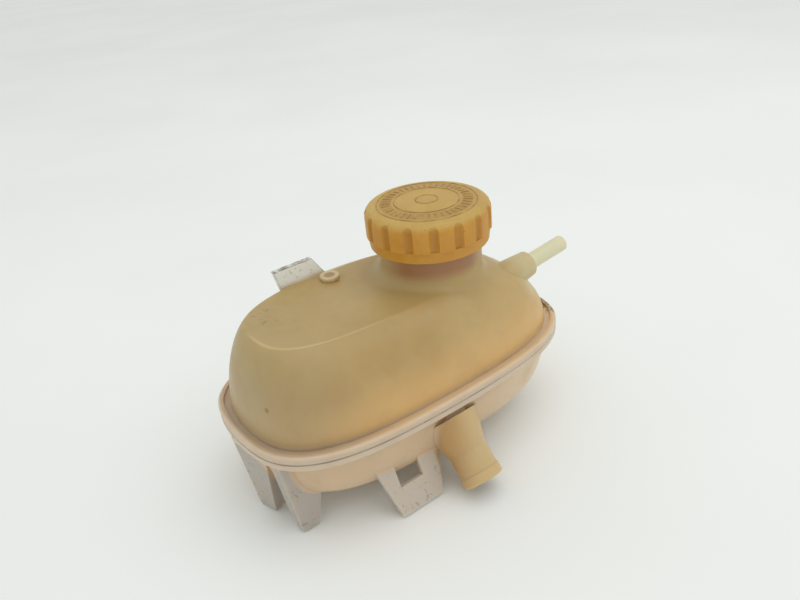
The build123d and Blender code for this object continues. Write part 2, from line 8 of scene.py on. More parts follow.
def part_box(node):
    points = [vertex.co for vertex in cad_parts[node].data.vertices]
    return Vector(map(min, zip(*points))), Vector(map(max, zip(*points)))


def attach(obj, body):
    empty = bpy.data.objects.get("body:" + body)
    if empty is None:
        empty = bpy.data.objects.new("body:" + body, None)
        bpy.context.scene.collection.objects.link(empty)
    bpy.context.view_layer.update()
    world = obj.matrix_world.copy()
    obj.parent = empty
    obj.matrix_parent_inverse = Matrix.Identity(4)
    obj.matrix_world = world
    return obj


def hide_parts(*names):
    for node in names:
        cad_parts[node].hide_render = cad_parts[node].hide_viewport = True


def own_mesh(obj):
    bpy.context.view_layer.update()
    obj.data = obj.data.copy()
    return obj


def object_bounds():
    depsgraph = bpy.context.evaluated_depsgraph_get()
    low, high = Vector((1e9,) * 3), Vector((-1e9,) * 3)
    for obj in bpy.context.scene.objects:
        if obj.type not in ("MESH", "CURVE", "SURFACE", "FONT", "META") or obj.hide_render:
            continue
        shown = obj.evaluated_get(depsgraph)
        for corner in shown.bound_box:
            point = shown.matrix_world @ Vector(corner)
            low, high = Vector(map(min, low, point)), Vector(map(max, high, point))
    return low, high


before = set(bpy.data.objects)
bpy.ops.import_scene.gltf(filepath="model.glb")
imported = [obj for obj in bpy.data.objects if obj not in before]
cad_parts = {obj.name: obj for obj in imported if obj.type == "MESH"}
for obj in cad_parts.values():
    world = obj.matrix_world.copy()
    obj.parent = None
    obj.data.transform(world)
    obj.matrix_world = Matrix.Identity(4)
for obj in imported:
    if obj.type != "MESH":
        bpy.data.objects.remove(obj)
cad_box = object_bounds()

# Middle of the neck's seal and highest corner of the cap, which shapes, stains and painted shade are placed
# from
neck_low, neck_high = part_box("neck_seal")
neck = (neck_low + neck_high) / 2
cap_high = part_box("cap_shell")[1]

MM = 0.001


def mm(*values):
    """Lengths in metres from millimetres."""
    return tuple(value * MM for value in values)


def linear(red, green, blue):
    """Colour in linear light from values of 0 to 255 as a screen shows them."""
    def channel(value):
        share = value / 255
        return share / 12.92 if share <= 0.04045 else ((share + 0.055) / 1.055) ** 2.4
    return channel(red), channel(green), channel(blue), 1.0


# Camera at the photograph's viewing angle, for an image of 800 by 600
CAMERA_PLACE = (-0.16994, -0.25981, 0.20834)
CAMERA_RIGHT = (0.7922, -0.6028, -0.0956)
CAMERA_FORWARD = (0.4893, 0.7209, -0.4907)
CAMERA_LENS = 31.5
SENSOR_WIDTH = 36.0
CAMERA_NEAR = 0.01
CAMERA_FAR = 50.0

# Floor and light
FLOOR_DROP = 0.2 * MM
FLOOR_SIZE = 12.0
FLOOR_COLOUR = linear(247, 249, 248)
FLOOR_MOTTLE = linear(243, 245, 244)
FLOOR_MOTTLE_SCALE = 3.0
FLOOR_ROUGHNESS = 0.9
SKY_COLOUR = linear(250, 252, 249)
WORLD_STRENGTH = 0.78
KEY_PLACE = (0.3, -0.4, 1.35)
KEY_SIZE = 1.6
KEY_POWER = 5.3

# Screw thread of the neck and the cap, which start half a turn apart
THREAD_PITCH = 4.0 * MM
NECK_RADIUS = 26.4 * MM
NECK_THREAD_CREST = 27.4 * MM
NECK_THREAD_START = 0.0
CAP_BORE = 28.0 * MM
CAP_THREAD_CREST = 27.0 * MM
CAP_THREAD_START = 0.5
THREAD_SPAN = mm(61.0, 69.0)
THREAD_STEPS = 72

# Section of the thread: half widths at root and tip, and shares of its height that are sunk in the wall
# and left at its two ends, from where it rises to full height in a fourteenth of its length
THREAD_ROOT = 0.8 * MM
THREAD_TIP = 0.35 * MM
THREAD_SINK = 0.35
THREAD_END = 0.02
THREAD_FADE = 14

# Crown of the cap, and how far the marks on it stand out and reach in
CROWN_DROP = 1.2 * MM
CROWN_RADIUS = 27.4 * MM
RELIEF_HEIGHT = 0.35 * MM
RELIEF_SINK = 0.25 * MM

# Raised rings: inner and outer radius of each, and height at shares of its width
RELIEF_RINGS = (mm(25.0, 25.7), mm(16.2, 16.9), mm(5.2, 6.0))
RING_STEPS = 96
RING_SHOULDER = 0.6 * RELIEF_HEIGHT
RING_PROFILE = ((0, -RELIEF_SINK), (0.1, RING_SHOULDER), (0.3, RELIEF_HEIGHT),
                (0.7, RELIEF_HEIGHT), (0.9, RING_SHOULDER), (1, -RELIEF_SINK))

# Raised bars: radius at both ends, swelling at shares of their length, and rounding of their tops
BAR_COUNT = 40
BAR_SPAN = mm(18.6, 23.2)
BAR_WIDTH = 0.75 * MM
BAR_SWELL = ((0, 0.3), (0.06, 0.85), (0.14, 1), (0.86, 1), (0.94, 0.85), (1, 0.3))
BAR_SHOULDER = 0.55
BAR_FLAT = 0.6

# Weld bead in the seam groove, along the seam face's outer edge
BEAD_RADIUS = 0.34 * MM
BEAD_STEPS = 8
SEAM_TOLERANCE = 0.02 * MM
SEAM_NEAREST = 49.0 * MM
SEAM_TURN_DIGITS = 3

# Springs in the cap: piece, node, body, joint, height of the fixed end and travel of the other end
COILS = (("pressure_coil", "pressure_spring", "valve_carrier", "pressure_lift", 72.5 * MM, 3.0 * MM),
         ("vacuum_coil", "vacuum_spring", "pressure_plate", "vacuum_drop", 64.2 * MM, 2.0 * MM))

# Rounded oblongs that the tank's stains, painted highlight and painted shade follow, seen from above:
# middle, half sizes and power
PLATEAU = (mm(-11.3, 5.9), mm(63.1, 32.1), 3.4)
FLANGE = (mm(0.0, 0.0), mm(94.0, 53.5), 3.1)

# Dish of the lower half: half sizes at the seam, how far they draw in and how far the middle shifts
DISH_POWER = 3.1
DISH_DEPTH = 33.5 * MM
DISH_ROUNDNESS = 2.6
DISH_HALF = mm(88.4, 47.9)
DISH_DRAW = mm(24.0, 10.5)
DISH_SHIFT = mm(2.0, 0.0)

# Clouds and specks in the plastic: scale, and detail with roughness
CLOUD_SCALE = 16.0
FINE_CLOUD_SCALE = 60.0
CLOUD_TEXTURE = (4.0, 0.6)
SPECK_TEXTURE = (4.0, 0.7)
GRAIN_DETAIL = 2.0

# Spans of a cloud's value from one colour or roughness to the other
CLOUD_SPAN = (0.35, 0.68)
MOTTLE_SPAN = (0.3, 0.7)
GLOSS_SPAN = (0.3, 0.75)
SPECK_EDGE = 0.035
PLASTIC_IOR = 1.49

# Dome: amber, greyer at the left end and on top, and warmer and lighter at its foot, partly coolant stain
# and partly painted light of the floor's bounce
AMBER = (linear(179, 144, 87), linear(198, 168, 113))
FOOT_STAIN_AND_LIGHT = linear(224, 181, 118)
DOME_FOOT_LEVELS = mm(30.0, 6.0)
DOME_FOOT_SHARE = 0.8
LEFT_END_COLOUR = linear(176, 156, 118)
LEFT_END_SPAN = mm(-35.0, -88.0)
LEFT_END_SHARE = 0.75
DOME_TOP_COLOUR = linear(180, 158, 104)
DOME_TOP_LEVELS = mm(18.0, 46.0)
DOME_TOP_SHARE = 0.55

# Painted highlight along the crease around the plateau's left front
CREASE_HIGHLIGHT = linear(224, 206, 166)
CREASE_INNER = (0.94, 1.0)
CREASE_OUTER = (1.07, 1.01)
CREASE_LEVELS = mm(37.0, 40.0)
CREASE_LEFT = mm(0.0, -40.0)
CREASE_FRONT = mm(10.0, -6.0)
CREASE_HIGHLIGHT_SHARE = 0.32

# Neck, greyer, with painted shade browner in its middle as seen from the front
NECK_ACROSS = (0.796, 0.605)
NECK_COLOUR = linear(186, 160, 128)
NECK_LEVELS = mm(46.0, 54.0)
NECK_SHARE = 0.6
NECK_REACH = mm(44.0, 36.0)
NECK_SHADE_COLOUR = linear(160, 108, 69)
NECK_SHADE_LEVELS = mm(44.5, 51.5)
NECK_SHADE_LEFT = mm(-24.0, -12.0)
NECK_SHADE_RIGHT = mm(26.0, 18.0)
NECK_SHADE_SHARE = 0.8

# Boss and nipple, which never held much coolant
BOSS_COLOUR = linear(203, 190, 147)
BOSS_SPAN = mm(60.0, 76.0)
BOSS_LEVELS = mm(18.0, 24.0)
BOSS_SHARE = 0.9
NIPPLE_COLOUR = linear(221, 215, 181)
NIPPLE_SPAN = mm(82.2, 83.8)
NIPPLE_LEVELS = mm(18.0, 22.0)

# Gate stub with a stain on its face
GATE_MIDDLE = mm(-16.9, 27.9, 45.4)
GATE_COLOUR = linear(204, 186, 148)
GATE_LEVELS = mm(43.4, 44.8)
GATE_REACH = mm(8.5, 7.5)
GATE_STAIN_COLOUR = linear(150, 112, 64)
GATE_STAIN_REACH = mm(3.6, 2.2)
GATE_STAIN_RANGE = (0.3, 0.6, 0.4, 0.9)

# Painted shade, brown, in the groove at the left end
GROOVE_SHADE = linear(150, 118, 76)
GROOVE_EDGE = (0.985, 0.955)
GROOVE_LEVELS = mm(5.6, 3.4)
GROOVE_SPAN = mm(-30.0, -70.0)
GROOVE_SHADE_SHARE = 0.6

# Bare tongue with a darker, patchy rim: where each side starts at the top, and its slope
TONGUE_COLOUR = linear(236, 243, 245)
TONGUE_FRONT = mm(35.8, 36.6)
TONGUE_LEVELS = mm(40.5, 46.5)
TONGUE_TOP = 53.6 * MM
TONGUE_SIDES = ((-43.5 * MM, 0.227), (-21.0 * MM, 0.625))
RIM_COLOUR = linear(116, 114, 108)
RIM_TOP = mm(0.9, 0.4)
RIM_SIDE = mm(0.8, 0.4)
RIM_SIDE_SHARE = 0.45
RIM_PATCH_SCALE = 260.0
RIM_PATCH_RANGE = (0.4, 0.6, 0.35, 0.9)

# Lower half, paler to the right
LOWER = (linear(212, 184, 152), linear(218, 190, 156))
LOWER_RIGHT_COLOUR = linear(226, 200, 168)
LOWER_RIGHT_SPAN = mm(-10.0, 60.0)
UNDER_FLANGE = mm(-4.2, -6.2)

# Outlet, with painted shade, browner, at its left root under the belly
OUTLET_COLOUR = linear(202, 176, 128)
OUTLET_EDGE = (1.0, 1.3)
OUTLET_FRONT = mm(-20.0, -30.0)
OUTLET_ROOT_SHADE = linear(186, 142, 84)
OUTLET_ROOT_FRONT = mm(-72.0, -54.0)
OUTLET_ROOT_LEFT = mm(3.0, -11.0)
OUTLET_ROOT_SHADE_SHARE = 0.75

# Bare bracket and fins, and where each group ends to the right
TAB_EDGE = (1.02, 1.1)
FINS_RIGHT = mm(-52.0, -50.0)
BRACKET_RIGHT = mm(-15.5, -13.5)
BRACKET_COLOUR = linear(200, 189, 176)
FINS_COLOUR = linear(181, 173, 163)

# Flange and its lip, and the thin film of dirt over the tank
FLANGE_LEVELS = mm(6.2, 4.2)
FLANGE_COLOUR = linear(208, 187, 164)
FLANGE_SHARE = 0.55
LIP_EDGE = (0.94, 0.98)
LIP_COLOUR = linear(212, 193, 174)
LIP_SHARE = 0.65
FILM_COLOUR = linear(160, 134, 94)
FILM_SPAN = (0.45, 0.75)
FILM_SHARE = 0.18
FILM_OFF_TABS = 0.12

# Dirt line in the seam, which fades to the right
SEAM_COLOUR = linear(112, 92, 68)
SEAM_LEVELS = mm(0.6, 0.3)
SEAM_FADE = (*mm(50.0, -80.0), 0.1, 0.55)
SEAM_PATCH_RANGE = (0.25, 0.6, 0.4, 1.0)

# Specks of dirt on the left shoulder, in the groove below the nipple and on the tabs
DIRT_COLOUR = linear(92, 78, 58)
DIRT_SHARE = 0.65
DIRT_SCALE = 620.0
DIRT_AMOUNT = 0.54
DIRT_LEAST = 0.2
DIRT_ON_TABS = 0.66
DIRT_CLOUD_SPAN = (0.25, 0.55)
SHOULDER_SPAN = mm(-35.0, -70.0)
SHOULDER_LEVELS = mm(20.0, 34.0)
SHOULDER_REAR = mm(-4.0, 14.0)
NECK_END_SPAN = mm(74.0, 88.0)
NECK_END_TOP = mm(11.0, 6.0)
NECK_END_FOOT = mm(0.6, 1.6)

# Scuffs on the tabs and in a patch on the left shoulder, and a lone brown spot at the left end
SCUFF_COLOUR = linear(116, 106, 90)
SCUFF_SHARE = 0.42
SCUFF_SCALE = 330.0
SCUFF_AMOUNT = 0.44
SCUFF_ON_TABS = 0.92
PATCH_PLACE = mm(-61.5, 16.0, 40.0)
PATCH_REACH = mm(19.0, 8.0)
SPOT_COLOUR = linear(126, 88, 50)
SPOT_PLACE = mm(-84.0, -20.4, 21.7)
SPOT_REACH = mm(1.6, 0.8)
SPOT_SHARE = 0.5

# Finish of the tank, with grain and waves by their depth and strength
TANK_ROUGHNESS = (0.34, 0.5)
TANK_SUBSURFACE = {"Subsurface_Weight": 0.5, "Subsurface_Radius": (1.0, 0.62, 0.3),
                   "Subsurface_Scale": 7.0 * MM}
TANK_GRAIN_SCALE = 1500.0
TANK_GRAIN = (0.03 * MM, 0.5)
TANK_WAVE_SCALE = 42.0
TANK_WAVE = (0.4 * MM, 0.35)

# Cap: paler on top, browner in the flutes with dirt and painted shade of the recesses, and dirty between the
# raised bars
CAP_TOP = (linear(190, 152, 74), linear(200, 165, 88))
CAP_SIDE = (linear(197, 139, 46), linear(205, 151, 58))
CAP_EDGE_LEVELS = mm(74.5, 77.2)
FLUTE_DIRT_AND_SHADE = linear(150, 96, 34)
FLUTE_OUTER = mm(31.7, 30.7)
FLUTE_INNER = mm(29.5, 30.1)
FLUTE_FOOT = mm(63.5, 65.0)
FLUTE_TOP = mm(76.5, 74.0)
FLUTE_DIRT_AND_SHADE_SHARE = 0.34
GRIME_COLOUR = linear(150, 112, 54)
GRIME_INNER = mm(17.2, 18.4)
GRIME_OUTER = mm(24.6, 23.4)
GRIME_LEVELS = mm(75.5, 77.0)
GRIME_RANGE = (0.3, 0.6, 0.2, 0.6)
WEAR_COLOUR = linear(96, 70, 34)
WEAR_SCALE = 900.0
WEAR_AMOUNT = 0.4
WEAR_RANGE = (0.45, 0.6, 0.2, 1.0)
WEAR_SHARE = 0.55
CAP_ROUGHNESS = (0.42, 0.58)
CAP_SUBSURFACE = {"Subsurface_Weight": 0.15, "Subsurface_Radius": (1.0, 0.55, 0.2),
                  "Subsurface_Scale": 3.0 * MM}
CAP_GRAIN_SCALE = 1400.0
CAP_GRAIN = (0.04 * MM, 0.6)

# Raised marks on the cap, darker where dirt gathers
RELIEF_SCALE = 180.0
RELIEF_COLOURS = (linear(156, 117, 56), linear(198, 160, 90))
RELIEF_ROUGHNESS = (0.45, 0.6)

# Inner pieces and weld bead: dark and light colour, and the finish they share
VALVE_COLOURS = (linear(26, 26, 27), linear(38, 38, 40))
RUBBER_COLOURS = (linear(14, 14, 14), linear(24, 24, 25))
STEEL_COLOURS = (linear(150, 150, 152), linear(186, 186, 188))
BEAD_COLOURS = (linear(150, 128, 98), linear(200, 180, 150))
PLAIN_SCALE = 120.0
STEEL_SCALE = 400.0
PLAIN_ROUGHNESS_RANGE = 0.15
PLAIN_GRAIN_TIMES = 12
PLAIN_GRAIN = (0.03 * MM, 0.5)

# Places of the colours among the sockets of a mix node
MIX_FIRST = 6
MIX_SECOND = 7
MIX_RESULT = 2


class Shade:
    """A material with its main shader, and short ways to add nodes to it."""

    def __init__(self, name):
        self.material = bpy.data.materials.new(name)
        self.material.use_nodes = True
        self.tree = self.material.node_tree
        self.surface = self.tree.nodes["Principled BSDF"]
        self.place = self.tree.nodes.new("ShaderNodeTexCoord").outputs["Object"]
        split = self.add("ShaderNodeSeparateXYZ", Vector=self.place)
        self.x, self.y, self.z = split.outputs

    def put(self, socket, value):
        """Link another socket to a socket, or set its value."""
        if isinstance(value, bpy.types.NodeSocket):
            self.tree.links.new(value, socket)
        else:
            socket.default_value = value

    def fill(self, node, values):
        """Put values into a node's inputs by their names."""
        for name, value in values.items():
            self.put(node.inputs[name.replace("_", " ")], value)

    def add(self, kind, **values):
        """New node with values in its inputs."""
        node = self.tree.nodes.new(kind)
        self.fill(node, values)
        return node

    def set(self, **values):
        """Put values into the main shader's inputs."""
        self.fill(self.surface, values)

    def math(self, operation, first, second=0.0):
        """Result of an operation on one or two values."""
        node = self.tree.nodes.new("ShaderNodeMath")
        node.operation = operation
        self.put(node.inputs[0], first)
        self.put(node.inputs[1], second)
        return node.outputs[0]

    def times(self, *shares):
        """Product of shares."""
        return reduce(partial(self.math, "MULTIPLY"), shares)

    def most(self, *shares):
        """Greatest of shares."""
        return reduce(partial(self.math, "MAXIMUM"), shares)

    def rest(self, share):
        """What a share leaves of 1."""
        return self.math("SUBTRACT", 1.0, share)

    def ramp(self, value, start, end, low=0.0, high=1.0):
        """Smooth step of a value from start to end, which may run either way."""
        node = self.tree.nodes.new("ShaderNodeMapRange")
        node.interpolation_type = "SMOOTHSTEP"
        for socket, setting in zip(node.inputs, (value, start, end, low, high)):
            self.put(socket, setting)
        return node.outputs[0]

    def noise(self, scale, detail=3.0, roughness=0.55):
        """Value of a noise texture."""
        node = self.add("ShaderNodeTexNoise", Vector=self.place, Scale=scale, Detail=detail,
                        Roughness=roughness)
        return node.outputs["Fac"]

    def oblong(self, outline):
        """1 along the edge of a rounded oblong seen from above, less inside it and more outside."""
        middle, half, power = outline
        total = 0.0
        for place, centre, reach in zip((self.x, self.y), middle, half):
            out = self.math("ABSOLUTE", self.math("SUBTRACT", place, centre))
            share = self.math("DIVIDE", out, reach)
            total = self.math("ADD", self.math("POWER", share, power), total)
        return total

    def beyond_dish(self):
        """1 on the wall of the dish, less inside it and more on what stands out of it."""
        level = self.math("MINIMUM", self.math("DIVIDE", self.math("ABSOLUTE", self.z), DISH_DEPTH), 1.0)
        hollow = self.rest(self.math("POWER", level, DISH_ROUNDNESS))
        lean = self.rest(self.math("POWER", hollow, 1 / DISH_ROUNDNESS))
        total = 0.0
        for place, half, draw, shift in zip((self.x, self.y), DISH_HALF, DISH_DRAW, DISH_SHIFT):
            out = self.math("ABSOLUTE", self.math("SUBTRACT", place, self.times(lean, shift)))
            share = self.math("DIVIDE", out, self.math("SUBTRACT", half, self.times(lean, draw)))
            total = self.math("ADD", self.math("POWER", share, DISH_POWER), total)
        return total

    def away(self, spot):
        """Distance from a spot."""
        node = self.tree.nodes.new("ShaderNodeVectorMath")
        node.operation = "DISTANCE"
        self.put(node.inputs[0], self.place)
        self.put(node.inputs[1], spot)
        return node.outputs["Value"]

    def mix(self, share, first, second):
        """Colour between two, with a share of the second."""
        node = self.tree.nodes.new("ShaderNodeMix")
        node.data_type = "RGBA"
        self.put(node.inputs["Factor"], share)
        self.put(node.inputs[MIX_FIRST], first)
        self.put(node.inputs[MIX_SECOND], second)
        return node.outputs[MIX_RESULT]

    def bump(self, height, distance, strength, under=None):
        """Normal of a surface with a height on it, and with another normal under that."""
        node = self.add("ShaderNodeBump", Height=height, Distance=distance, Strength=strength)
        if under is not None:
            self.put(node.inputs["Normal"], under)
        return node.outputs["Normal"]


def specks(shade, size, amount, region):
    """Mask of small dirt specks, denser where the region's mask is higher."""
    grain = shade.noise(size, *SPECK_TEXTURE)
    level = shade.rest(shade.times(region, amount))
    return shade.ramp(grain, level, shade.math("ADD", level, SPECK_EDGE))


def neck_colours(shade, body):
    """Colour of the upper half with its greyer neck and painted shade, browner, across the neck's front."""
    across = shade.math("SUBTRACT", shade.times(shade.math("SUBTRACT", shade.x, neck.x), NECK_ACROSS[0]),
                        shade.times(shade.math("SUBTRACT", shade.y, neck.y), NECK_ACROSS[1]))
    near = shade.ramp(shade.away(neck), *NECK_REACH)
    grey = shade.times(shade.ramp(shade.z, *NECK_LEVELS), near, NECK_SHARE)
    body = shade.mix(grey, body, NECK_COLOUR)
    # Painted shade, browner, across the middle of the neck as seen from the front
    neck_shade = shade.times(shade.ramp(shade.z, *NECK_SHADE_LEVELS), shade.ramp(across, *NECK_SHADE_LEFT),
                        shade.ramp(across, *NECK_SHADE_RIGHT))
    return shade.mix(shade.times(neck_shade, near, NECK_SHADE_SHARE), body, NECK_SHADE_COLOUR)


def tongue_colours(shade, body):
    """Colour of the upper half with its bare tongue, and the tongue's mask."""
    tongue = shade.times(shade.ramp(shade.y, *TONGUE_FRONT), shade.ramp(shade.z, *TONGUE_LEVELS))
    body = shade.mix(tongue, body, TONGUE_COLOUR)
    below = shade.math("SUBTRACT", TONGUE_TOP, shade.z)
    sides = []
    for start, slope in TONGUE_SIDES:
        inward = shade.math("SUBTRACT", shade.math("SUBTRACT", shade.x, start), shade.times(below, slope))
        sides.append(shade.ramp(shade.math("ABSOLUTE", inward), *RIM_SIDE))
    rim = shade.most(shade.ramp(below, *RIM_TOP), shade.times(shade.most(*sides), RIM_SIDE_SHARE))
    patches = shade.ramp(shade.noise(RIM_PATCH_SCALE, GRAIN_DETAIL), *RIM_PATCH_RANGE)
    return shade.mix(shade.times(tongue, rim, patches), body, RIM_COLOUR), tongue


def upper_colours(shade, cloud):
    """Colour of the upper half, and the mask of its bare tongue."""
    body = shade.mix(shade.ramp(cloud, *CLOUD_SPAN), *AMBER)
    # Foot of the dome, warmer and lighter: partly coolant stain, partly painted light of the floor's bounce
    foot_stain_and_light = shade.ramp(shade.z, *DOME_FOOT_LEVELS)
    body = shade.mix(shade.times(foot_stain_and_light, DOME_FOOT_SHARE), body, FOOT_STAIN_AND_LIGHT)
    left_end = shade.ramp(shade.x, *LEFT_END_SPAN)
    body = shade.mix(shade.times(left_end, LEFT_END_SHARE), body, LEFT_END_COLOUR)
    top = shade.ramp(shade.z, *DOME_TOP_LEVELS)
    body = shade.mix(shade.times(top, DOME_TOP_SHARE), body, DOME_TOP_COLOUR)
    edge = shade.oblong(PLATEAU)
    # Painted highlight along the plateau's crease
    crease_highlight = shade.times(shade.ramp(edge, *CREASE_INNER), shade.ramp(edge, *CREASE_OUTER),
                         shade.ramp(shade.z, *CREASE_LEVELS), shade.ramp(shade.x, *CREASE_LEFT),
                         shade.ramp(shade.y, *CREASE_FRONT))
    body = shade.mix(shade.times(crease_highlight, CREASE_HIGHLIGHT_SHARE), body, CREASE_HIGHLIGHT)
    body = neck_colours(shade, body)
    boss = shade.times(shade.ramp(shade.x, *BOSS_SPAN), shade.ramp(shade.z, *BOSS_LEVELS))
    body = shade.mix(shade.times(boss, BOSS_SHARE), body, BOSS_COLOUR)
    nipple = shade.times(shade.ramp(shade.x, *NIPPLE_SPAN), shade.ramp(shade.z, *NIPPLE_LEVELS))
    body = shade.mix(nipple, body, NIPPLE_COLOUR)
    from_gate = shade.away(GATE_MIDDLE)
    gate = shade.times(shade.ramp(shade.z, *GATE_LEVELS), shade.ramp(from_gate, *GATE_REACH))
    body = shade.mix(gate, body, GATE_COLOUR)
    gate_stain = shade.times(shade.ramp(from_gate, *GATE_STAIN_REACH), shade.ramp(cloud, *GATE_STAIN_RANGE))
    body = shade.mix(gate_stain, body, GATE_STAIN_COLOUR)
    # Painted shade in the recessed groove at the left end
    groove_shade = shade.times(shade.ramp(shade.oblong(FLANGE), *GROOVE_EDGE), shade.ramp(shade.z, *GROOVE_LEVELS),
                         shade.ramp(shade.x, *GROOVE_SPAN))
    body = shade.mix(shade.times(groove_shade, GROOVE_SHADE_SHARE), body, GROOVE_SHADE)
    return tongue_colours(shade, body)


def lower_colours(shade, cloud):
    """Colour of the lower half, and the mask of its bare bracket and fins."""
    body = shade.mix(shade.ramp(cloud, *CLOUD_SPAN), *LOWER)
    body = shade.mix(shade.ramp(shade.x, *LOWER_RIGHT_SPAN), body, LOWER_RIGHT_COLOUR)
    beyond = shade.beyond_dish()
    below = shade.ramp(shade.z, *UNDER_FLANGE)
    tabs = shade.times(shade.ramp(beyond, *TAB_EDGE), below)
    past_fins = shade.ramp(shade.x, *FINS_RIGHT)
    past_bracket = shade.ramp(shade.x, *BRACKET_RIGHT)
    outlet = shade.times(shade.ramp(beyond, *OUTLET_EDGE), below, past_bracket,
                         shade.ramp(shade.y, *OUTLET_FRONT))
    body = shade.mix(outlet, body, OUTLET_COLOUR)
    # Painted shade on the outlet's root, under the belly
    root = shade.times(outlet, shade.ramp(shade.y, *OUTLET_ROOT_FRONT),
                       shade.ramp(shade.x, *OUTLET_ROOT_LEFT))
    body = shade.mix(shade.times(root, OUTLET_ROOT_SHADE_SHARE), body, OUTLET_ROOT_SHADE)
    fins = shade.times(tabs, shade.rest(past_fins))
    bracket = shade.times(tabs, past_fins, shade.rest(past_bracket))
    body = shade.mix(bracket, body, BRACKET_COLOUR)
    body = shade.mix(fins, body, FINS_COLOUR)
    return body, shade.most(fins, bracket)


def dirty_colours(shade, body, tab, cloud, fine_cloud):
    """Colour of the tank with the dirt along its seam, on its shoulder, at its neck end and on its tabs."""
    seam = shade.ramp(shade.math("ABSOLUTE", shade.z), *SEAM_LEVELS)
    seam = shade.times(seam, shade.ramp(shade.x, *SEAM_FADE), shade.ramp(fine_cloud, *SEAM_PATCH_RANGE))
    body = shade.mix(seam, body, SEAM_COLOUR)
    shoulder = shade.times(shade.ramp(shade.x, *SHOULDER_SPAN), shade.ramp(shade.z, *SHOULDER_LEVELS),
                           shade.ramp(shade.y, *SHOULDER_REAR))
    neck_end = shade.times(shade.ramp(shade.x, *NECK_END_SPAN), shade.ramp(shade.z, *NECK_END_TOP),
                           shade.ramp(shade.z, *NECK_END_FOOT))
    region = shade.most(shoulder, neck_end, shade.times(tab, DIRT_ON_TABS))
    region = shade.most(shade.times(region, shade.ramp(cloud, *DIRT_CLOUD_SPAN)), DIRT_LEAST)
    dirt = specks(shade, DIRT_SCALE, DIRT_AMOUNT, region)
    body = shade.mix(shade.times(dirt, DIRT_SHARE), body, DIRT_COLOUR)
    patch = shade.ramp(shade.away(PATCH_PLACE), *PATCH_REACH)
    scuffs = specks(shade, SCUFF_SCALE, SCUFF_AMOUNT, shade.most(shade.times(tab, SCUFF_ON_TABS), patch))
    body = shade.mix(shade.times(scuffs, SCUFF_SHARE), body, SCUFF_COLOUR)
    spot = shade.ramp(shade.away(SPOT_PLACE), *SPOT_REACH)
    return shade.mix(shade.times(spot, SPOT_SHARE), body, SPOT_COLOUR)


def tank_material(name, colours):
    """Aged translucent plastic of the tank, amber where coolant stood and clearer on the bare tabs, with
    painted light and shade in places.
    """
    shade = Shade(name)
    cloud = shade.noise(CLOUD_SCALE, *CLOUD_TEXTURE)
    fine_cloud = shade.noise(FINE_CLOUD_SCALE, *CLOUD_TEXTURE)
    body, tab = colours(shade, cloud)
    flange = shade.ramp(shade.math("ABSOLUTE", shade.z), *FLANGE_LEVELS)
    lip = shade.times(flange, shade.ramp(shade.oblong(FLANGE), *LIP_EDGE))
    body = shade.mix(shade.times(flange, FLANGE_SHARE), body, FLANGE_COLOUR)
    body = shade.mix(shade.times(lip, LIP_SHARE), body, LIP_COLOUR)
    film_share = shade.math("SUBTRACT", FILM_SHARE, shade.times(tab, FILM_OFF_TABS))
    film = shade.times(shade.ramp(fine_cloud, *FILM_SPAN), film_share)
    body = shade.mix(film, body, FILM_COLOUR)
    body = dirty_colours(shade, body, tab, cloud, fine_cloud)
    roughness = shade.ramp(fine_cloud, *GLOSS_SPAN, *TANK_ROUGHNESS)
    shade.set(Base_Color=body, Roughness=roughness, IOR=PLASTIC_IOR, **TANK_SUBSURFACE)
    grain = shade.bump(shade.noise(TANK_GRAIN_SCALE, GRAIN_DETAIL), *TANK_GRAIN)
    shade.set(Normal=shade.bump(shade.noise(TANK_WAVE_SCALE, GRAIN_DETAIL), *TANK_WAVE, grain))
    return shade.material


def cap_material(name):
    """Aged amber cap, browner low down, and browner in the flutes with dirt and painted shade."""
    shade = Shade(name)
    cloud = shade.noise(FINE_CLOUD_SCALE, *CLOUD_TEXTURE)
    top = shade.mix(shade.ramp(cloud, *CLOUD_SPAN), *CAP_TOP)
    side = shade.mix(shade.ramp(cloud, *CLOUD_SPAN), *CAP_SIDE)
    body = shade.mix(shade.ramp(shade.z, *CAP_EDGE_LEVELS), side, top)
    across = shade.math("POWER", shade.math("SUBTRACT", shade.x, neck.x), 2.0)
    along = shade.math("POWER", shade.math("SUBTRACT", shade.y, neck.y), 2.0)
    reach = shade.math("SQRT", shade.math("ADD", across, along))
    # Browner in the flutes: partly dirt, partly painted shade of the recesses
    flute_dirt_and_shade = shade.times(shade.ramp(reach, *FLUTE_OUTER), shade.ramp(reach, *FLUTE_INNER),
                        shade.ramp(shade.z, *FLUTE_FOOT), shade.ramp(shade.z, *FLUTE_TOP))
    body = shade.mix(shade.times(flute_dirt_and_shade, FLUTE_DIRT_AND_SHADE_SHARE), body, FLUTE_DIRT_AND_SHADE)
    grime = shade.times(shade.ramp(reach, *GRIME_INNER), shade.ramp(reach, *GRIME_OUTER),
                        shade.ramp(shade.z, *GRIME_LEVELS), shade.ramp(cloud, *GRIME_RANGE))
    body = shade.mix(grime, body, GRIME_COLOUR)
    wear = specks(shade, WEAR_SCALE, WEAR_AMOUNT, shade.ramp(cloud, *WEAR_RANGE))
    body = shade.mix(shade.times(wear, WEAR_SHARE), body, WEAR_COLOUR)
    roughness = shade.ramp(cloud, *GLOSS_SPAN, *CAP_ROUGHNESS)
    shade.set(Base_Color=body, Roughness=roughness, IOR=PLASTIC_IOR, **CAP_SUBSURFACE)
    shade.set(Normal=shade.bump(shade.noise(CAP_GRAIN_SCALE), *CAP_GRAIN))
    return shade.material


